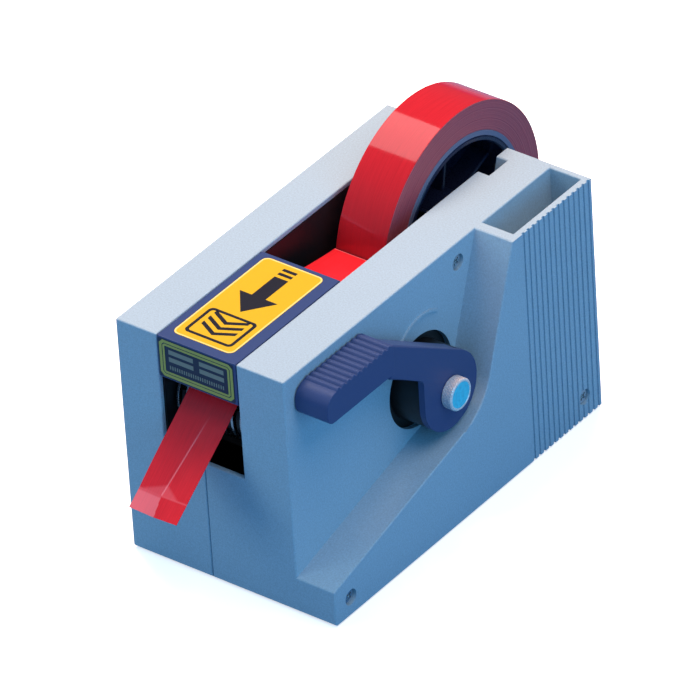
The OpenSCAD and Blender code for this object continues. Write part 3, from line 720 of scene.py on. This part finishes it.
def tape_roll():
    """The wound roll: every few layers stand a little proud or sunk at the sides."""
    low, high = span("tape_roll")
    outer = radius_of("tape_roll")
    inner = radius_of("tape_core") + 0.05
    layers = 36
    pitch = (outer - 0.25 - inner) / layers
    right, left = [], []
    for i in range(layers + 1):
        r = inner + pitch * i
        wander = 0.10 + 0.09 * math.sin(i * 2.4) + 0.07 * noise.noise(Vector((i * 0.37, 0.5, 1.5)))
        right.append((high.x - wander, r))
        left.append((low.x + 0.10 + 0.08 * math.sin(i * 1.9 + 1), r))
    rim = [(high.x - 0.12, outer - 0.05), (high.x - 0.3, outer),
           (low.x + 0.3, outer), (low.x + 0.12, outer - 0.05)]
    profile = right + rim + left[::-1]
    outside_from, outside_to = len(right), len(right) + 2
    bm = bmesh.new()
    turned(bm, profile, ROLL_AT, 192, lambda j: 1 if outside_from <= j <= outside_to else 0)
    thing = from_bmesh("tape_roll_wound", bm, 50)
    stand_for(thing, "tape_roll", [MATERIALS["tape_side"], ROLL_OUTSIDE])


def roll_hub():
    """Navy hub, painted near black as painted shade for its deep cup: a cup open to the right, with a rolled
    lip, six ribs and a boss for the axle.
    """
    low, high = span("roll_hub")
    rim = radius_of("roll_hub")
    bore = radius_of("roll_axle") + 0.05
    web = low.x + 2.2
    wall = 2.6
    profile = [(low.x + 0.5, rim), (low.x, rim - 0.5), (low.x, rim - wall), (web, rim - wall - 0.8),
               (web, 13.2), (low.x, 12.2), (low.x, bore + 0.4), (low.x + 0.4, bore), (high.x - 0.4, bore),
               (high.x, bore + 0.4), (high.x, 11.2), (high.x - 0.6, 12), (web + 3.3, 12.2), (web + 2.4, 13.2),
               (web + 2.4, rim - wall - 1.2), (web + 3.4, rim - wall), (high.x - 0.8, rim - wall + 0.2),
               (high.x, rim - wall + 0.8), (high.x, rim - 0.5), (high.x - 0.5, rim)]
    bm = bmesh.new()
    turned(bm, profile, ROLL_AT, 144)
    ribs = 6
    half = 0.9
    rib_foot, rib_end = 11.6, rim - 2
    for i in range(ribs):
        turn = math.radians(360 * i / ribs + 20)
        along = Vector((math.cos(turn), math.sin(turn)))
        side = Vector((-along.y, along.x)) * half
        middle = Vector(ROLL_AT)
        corners = [middle + along * r + s for r, s in
                   ((rib_foot, side), (rib_end, side), (rib_end, -side), (rib_foot, -side))]
        prism(bm, [tuple(c) for c in corners], web + 2, web + 12, along_x, [(web + 12, 0.5)])
    stand_for(from_bmesh("roll_hub_moulding", bm, 34), "roll_hub", HUB_NAVY_SHADED)


FREE_GAP = 0.45                 # between the strip's middle and the rollers it bends round
PEEL_ANGLE = 169                # where the web leaves the roll, in degrees round it
GUIDE_ANGLE = 84                # where it meets the guide roller
TAIL_SLOPE = 39.0
TAIL_LENGTH = 60.0
TIP_FOLD = 9.0                  # from the transverse fold to the cut end


def strip_path():
    """Middle line of the strip, from the roll to the cut end: (y, z, distance to the cut end)."""
    guide, feed = side_centre("guide_roller"), side_centre("feed_discs")
    guide_r = radius_of("guide_roller") + FREE_GAP
    feed_r = radius_of("feed_discs") + FREE_GAP
    dy, dz = guide[0] - feed[0], guide[1] - feed[1]
    nip = math.degrees(math.atan2(dz, dy) + math.acos((feed_r - guide_r) / math.hypot(dy, dz)))
    peel = polar(ROLL_AT, radius_of("tape_roll") + FREE_GAP, PEEL_ANGLE)
    first = polar(guide, guide_r, GUIDE_ANGLE)
    run = Vector((first[0] - peel[0], first[1] - peel[1])).normalized()
    points = [peel] + [(peel[0] + run.x * d, peel[1] + run.y * d) for d in (0.25, 0.6)]
    for i in range(1, 14):
        t = i / 14
        sag = 0.5 * math.sin(math.pi * t)
        points.append((peel[0] + (first[0] - peel[0]) * t,
                       peel[1] + (first[1] - peel[1]) * t - sag * (1 - t)))
    points += arc(guide, guide_r, GUIDE_ANGLE, nip, 8) + arc(feed, feed_r, nip, 90 + TAIL_SLOPE, 14)
    start = points[-1]
    slope = math.radians(TAIL_SLOPE)
    steps = 100
    for i in range(1, steps + 1):
        d = TAIL_LENGTH * i / steps
        points.append((start[0] - d * math.cos(slope), start[1] - d * math.sin(slope)))
    left = [0.0]
    for a, b in zip(points[::-1], points[-2::-1]):
        left.append(left[-1] + math.dist(a, b))
    return [(y, z, d) for (y, z), d in zip(points, left[::-1])]


def tape_strip():
    """The web over the rollers and the tail: creased along its middle, with a folded end and a faint pale
    patch behind the fold.
    """
    low, high = span("tape_strip")
    width = high.x - low.x
    columns = 72
    half_thick = 0.07
    path = strip_path()
    bm = bmesh.new()
    # Per corner, how far the film is mixed towards the pale pink: partly stress whitening, partly painted
    # highlight and painted reflection.
    whitening_and_sheen = bm.verts.layers.float.new("stress_white_and_sheen")
    top, bottom = [], []
    for i, (y, z, d) in enumerate(path):
        before, after = path[max(0, i - 1)], path[min(len(path) - 1, i + 1)]
        along = Vector((after[0] - before[0], after[1] - before[1])).normalized()
        up = Vector((along.y, -along.x))        # away from the rollers
        valley = smooth(unit((TAIL_LENGTH - 12 - d) / 34))      # how far the strip is folded lengthwise
        past_fold = max(0.0, (TIP_FOLD - d) / TIP_FOLD)
        crease_u = -0.09 - 0.08 * min(1.0, d / TIP_FOLD) + 0.40 * unit((d - TIP_FOLD) / 37)
        rows = [], []
        for c in range(columns + 1):
            u = c / columns * 2 - 1                             # -1 left edge, 1 right edge
            off = abs(u - crease_u)
            lift = valley * (1.9 * off - 0.75) + past_fold * (0.9 * off - 0.3)
            lift += 0.16 * valley * noise.noise(Vector((u * 1.4, d * 0.09, 3.1)))
            x = low.x + width * c / columns
            # Pale marks: the middle crease line, the transverse fold and the peel line are partly stress
            # whitening and partly painted highlight; the left half past the fold is painted paler as a
            # painted reflection; a faint pale patch lies about the crease just behind the fold.
            line = max(0.0, 1 - off * 34) * min(1.0, valley * 3) * (1 if d > TIP_FOLD else 0)
            fold = max(0.0, 1 - abs(d - TIP_FOLD) / 0.6)
            left_flap_reflection = 0.5 * min(1.0, past_fold * 8) * (1 if u < crease_u else 0)
            dog_ear = 0.2 * unit((14.5 - 6.5 * off - d) / 1.2) * (1 if d > TIP_FOLD else 0)
            peel_line = 1.0 if i == 1 else 0.0
            mark = min(1.0, 0.8 * line + 0.25 * fold + left_flap_reflection + dog_ear + 0.7 * peel_line)
            for side, row in ((half_thick, rows[0]), (-half_thick, rows[1])):
                shift = up * (lift + side)
                vert = bm.verts.new(at(x, y + shift.x, z + shift.y))
                vert[whitening_and_sheen] = mark
                row.append(vert)
        top.append(rows[0])
        bottom.append(rows[1])
    for i in range(len(path) - 1):
        for c in range(columns):
            bm.faces.new((top[i][c], top[i][c + 1], top[i + 1][c + 1], top[i + 1][c]))
            bm.faces.new((bottom[i][c], bottom[i + 1][c], bottom[i + 1][c + 1], bottom[i][c + 1]))
        for c in (0, columns):
            bm.faces.new((top[i][c], top[i + 1][c], bottom[i + 1][c], bottom[i][c]))
    for i in (0, len(path) - 1):
        for c in range(columns):
            bm.faces.new((top[i][c], top[i][c + 1], bottom[i][c + 1], bottom[i][c]))
    stand_for(from_bmesh("tape_web_and_tail", bm, 25), "tape_strip")


# ---------------------------------------------------------------- labels

SUNK = 0.02                     # how deep printing starts inside its film


def printed(name, ink):
    """Starts a printed layer; the returned pair is its bmesh and the call that finishes it."""
    bm = bmesh.new()

    def finish():
        dress(from_bmesh(name, bm, 30), PRINT[ink], "cover")

    return bm, finish


def top_label():
    """Yellow panel with a pale rim and made-up feed-direction signs: an arrow, bars and chevrons."""
    low, high = span("top_label")
    x0, y0, x1, y1, z = low.x, low.y, high.x, high.y, low.z
    film, ink_top = z + 0.10, z + 0.16
    panel = bmesh.new()
    prism(panel, rounded_box(x0, y0, x1, y1, 3.0), z, film, facing_up)
    stand_for(from_bmesh("top_label_film", panel, 30), "top_label")
    rim, done = printed("top_label_rim", "cream")
    band(rim, rounded_box(x0 + 0.1, y0 + 0.1, x1 - 0.1, y1 - 0.1, 2.9),
         rounded_box(x0 + 0.75, y0 + 0.75, x1 - 0.75, y1 - 0.75, 2.3), film - SUNK, film + 0.03, facing_up)
    done()
    ink, done = printed("top_label_signs", "ink")
    mid = (x0 + x1) / 2
    # feed arrow, pointing to the mouth
    tail, neck, point = y0 + 52.5, y0 + 37.5, y0 + 25.5
    shaft, head = 3.4, 9.4                      # half widths
    arrow = [(mid - shaft, tail), (mid - shaft, neck), (mid - head, neck), (mid, point), (mid + head, neck),
             (mid + shaft, neck), (mid + shaft, tail)]
    prism(ink, arrow, film - SUNK, ink_top, facing_up)
    for i in range(2):
        start = y0 + 54.2 + 3.0 * i
        prism(ink, rectangle(mid - shaft, start, mid + shaft, start + 1.6), film - SUNK, ink_top, facing_up)
    # framed sign: three chevrons that point to the mouth
    frame_y = (y0 + 3.4, y0 + 22.2)
    band(ink, rounded_box(x0 + 3.2, frame_y[0], x1 - 3.2, frame_y[1], 2.2),
         rounded_box(x0 + 4.6, frame_y[0] + 1.4, x1 - 4.6, frame_y[1] - 1.4, 1.2),
         film - SUNK, ink_top, facing_up)
    half, rise, thick = 8.4, 4.4, 2.0
    for i in range(3):
        foot = y0 + 6.6 + 4.2 * i
        chevron = [(mid - half, foot + rise), (mid, foot), (mid + half, foot + rise),
                   (mid + half, foot + rise + thick), (mid, foot + thick), (mid - half, foot + rise + thick)]
        prism(ink, chevron, film - SUNK, ink_top, facing_up)
    done()


def front_label():
    """Dark plate with a double rim, four plain bars and a row of ticks."""
    low, high = span("front_label")
    x0, z0, x1, z1 = low.x, low.z, high.x, high.z
    film, ink_top = 0.08, 0.15
    plate = bmesh.new()
    prism(plate, rounded_box(x0, z0, x1, z1, 0.8), 0.0, film, facing_front)
    stand_for(from_bmesh("front_label_film", plate, 30), "front_label")
    rims, done = printed("front_label_rims", "lime")

    def cut_corners(inset, cut):
        a, b, c, d = x0 + inset, z0 + inset, x1 - inset, z1 - inset
        return [(a + cut, b), (c - cut, b), (c, b + cut), (c, d - cut), (c - cut, d), (a + cut, d),
                (a, d - cut), (a, b + cut)]

    for inset, width, cut in ((0.5, 1.25, 1.7), (2.15, 0.95, 0.9)):
        band(rims, cut_corners(inset, cut), cut_corners(inset + width, max(0.1, cut - 0.6)),
             film - SUNK, ink_top, facing_front)
    done()
    marks, done = printed("front_label_marks", "silver")
    left, right, mid = x0 + 5.0, x1 - 5.0, (x0 + x1) / 2
    for z in (z1 - 6.6, z1 - 10.1):
        for a, b in ((left, mid - 1.5), (mid + 1.5, right)):
            prism(marks, rectangle(a, z, b, z + 2.1), film - SUNK, ink_top, facing_front)
    ticks = 24
    for i in range(ticks):
        x = left + (right - left) * (i + 0.25) / ticks
        prism(marks, rectangle(x, z0 + 4.6, x + 0.55, z0 + 6.4), film - SUNK, ink_top, facing_front)
    done()


# ---------------------------------------------------------------- lights, floor, camera

def area_light(name, place, aim, size, power, colour, mirrored=True):
    """A soft light; one that isn't mirrored leaves no glint on glossy pieces."""
    data = bpy.data.lights.new(name, "AREA")
    data.shape = "RECTANGLE"
    data.size, data.size_y = size
    data.energy = power
    data.color = colour
    light = new_object(name, data)
    light.location = place
    light.visible_glossy = mirrored
    light.rotation_euler = (Vector(aim) - Vector(place)).to_track_quat("-Z", "Y").to_euler()


FLOOR_PALE = (0.93, 0.95, 0.97)
FLOOR_BOUNCE = (0.10, 0.24, 0.42)
FLOOR_GLOW = 0.62                # keeps the paper white where the object shades it
SKY_BLUE = (0.08, 0.24, 0.44)
SKY_MIRRORED = (0.06, 0.09, 0.14)


def light_path(tree, output):
    return tree.nodes.new("ShaderNodeLightPath").outputs[output]


def studio():
    floor = bpy.data.meshes.new("floor")
    half = 6.0
    corners = rectangle(-half, -half, half, half)
    floor.from_pydata([(x, y, 0) for x, y in corners], [], [(0, 1, 2, 3)])
    ground = new_object("floor", floor)
    material, tree, shader = shader_nodes("floor_paper")
    tree.links.new(mix(tree, light_path(tree, "Is Camera Ray"), FLOOR_BOUNCE, FLOOR_PALE),
                   shader.inputs["Base Color"])
    shader.inputs["Roughness"].default_value = 0.9
    shader.inputs["Specular IOR Level"].default_value = 0.0
    shader.inputs["Emission Color"].default_value = (1, 1, 1, 1)
    glow = tree.nodes.new("ShaderNodeMath")
    glow.operation = "MULTIPLY"
    glow.inputs[1].default_value = FLOOR_GLOW
    tree.links.new(light_path(tree, "Is Camera Ray"), glow.inputs[0])
    tree.links.new(glow.outputs[0], shader.inputs["Emission Strength"])
    floor.materials.append(material)
    world = bpy.data.worlds.new("studio")
    world.use_nodes = True
    tree = world.node_tree
    sky = tree.nodes["Background"]
    lit = mix(tree, light_path(tree, "Is Glossy Ray"), SKY_BLUE, SKY_MIRRORED)
    tree.links.new(mix(tree, light_path(tree, "Is Camera Ray"), lit, (1.0, 1.0, 1.0)), sky.inputs["Color"])
    sky.inputs["Strength"].default_value = 1.0
    bpy.context.scene.world = world
    area_light("key_overhead", (-0.42, 0.40, 1.35), (0, 0, 0.05), (0.6, 0.6), 26.5, (1.0, 0.58, 0.36), False)
    area_light("top_right", (0.60, -0.05, 1.25), (0, 0, 0.05), (0.8, 0.8), 6, (1.0, 0.80, 0.68), False)
    area_light("front_left", (-0.85, -1.05, 0.70), (0, 0.05, 0.1), (0.8, 0.8), 5, (0.80, 0.95, 1.0), False)
    area_light("window", (-0.77, 0.22, 1.38), (0, 0, 0.1), (0.88, 0.6), 3.5, (1.0, 0.95, 0.95))
    area_light("fill_right", (1.3, -0.3, 0.5), (0, 0, 0.06), (1.0, 0.8), 5, (0.22, 0.64, 1.0))


def photo_camera():
    """Three-quarter view from the front right, above, through a long lens and tilted a little."""
    azimuth, elevation, roll = (math.radians(a) for a in (38.858, 34.828, 3.7255))
    aim = at(43.3, 92.7, 57.1)
    distance = 3.9637
    forward = Vector((-math.sin(azimuth) * math.cos(elevation), math.cos(azimuth) * math.cos(elevation),
                      -math.sin(elevation)))
    level = Vector((math.cos(azimuth), math.sin(azimuth), 0))
    up = level.cross(forward)
    right = math.cos(roll) * level - math.sin(roll) * up
    up = right.cross(forward)
    data = bpy.data.cameras.new("photo_view")
    data.lens = 506.7
    data.sensor_width = 36
    data.clip_end = 30
    camera = new_object("photo_view", data)
    turn = Matrix((right, up, -forward)).transposed().to_4x4()
    camera.matrix_world = Matrix.Translation(aim - forward * distance) @ turn
    bpy.context.scene.camera = camera


bpy.context.scene.view_settings.view_transform = "Standard"
casings()
plain_parts()
knife_blade()
springs()
lever()
clamp_screw()
tape_roll()
roll_hub()
tape_strip()
top_label()
front_label()
studio()
photo_camera()
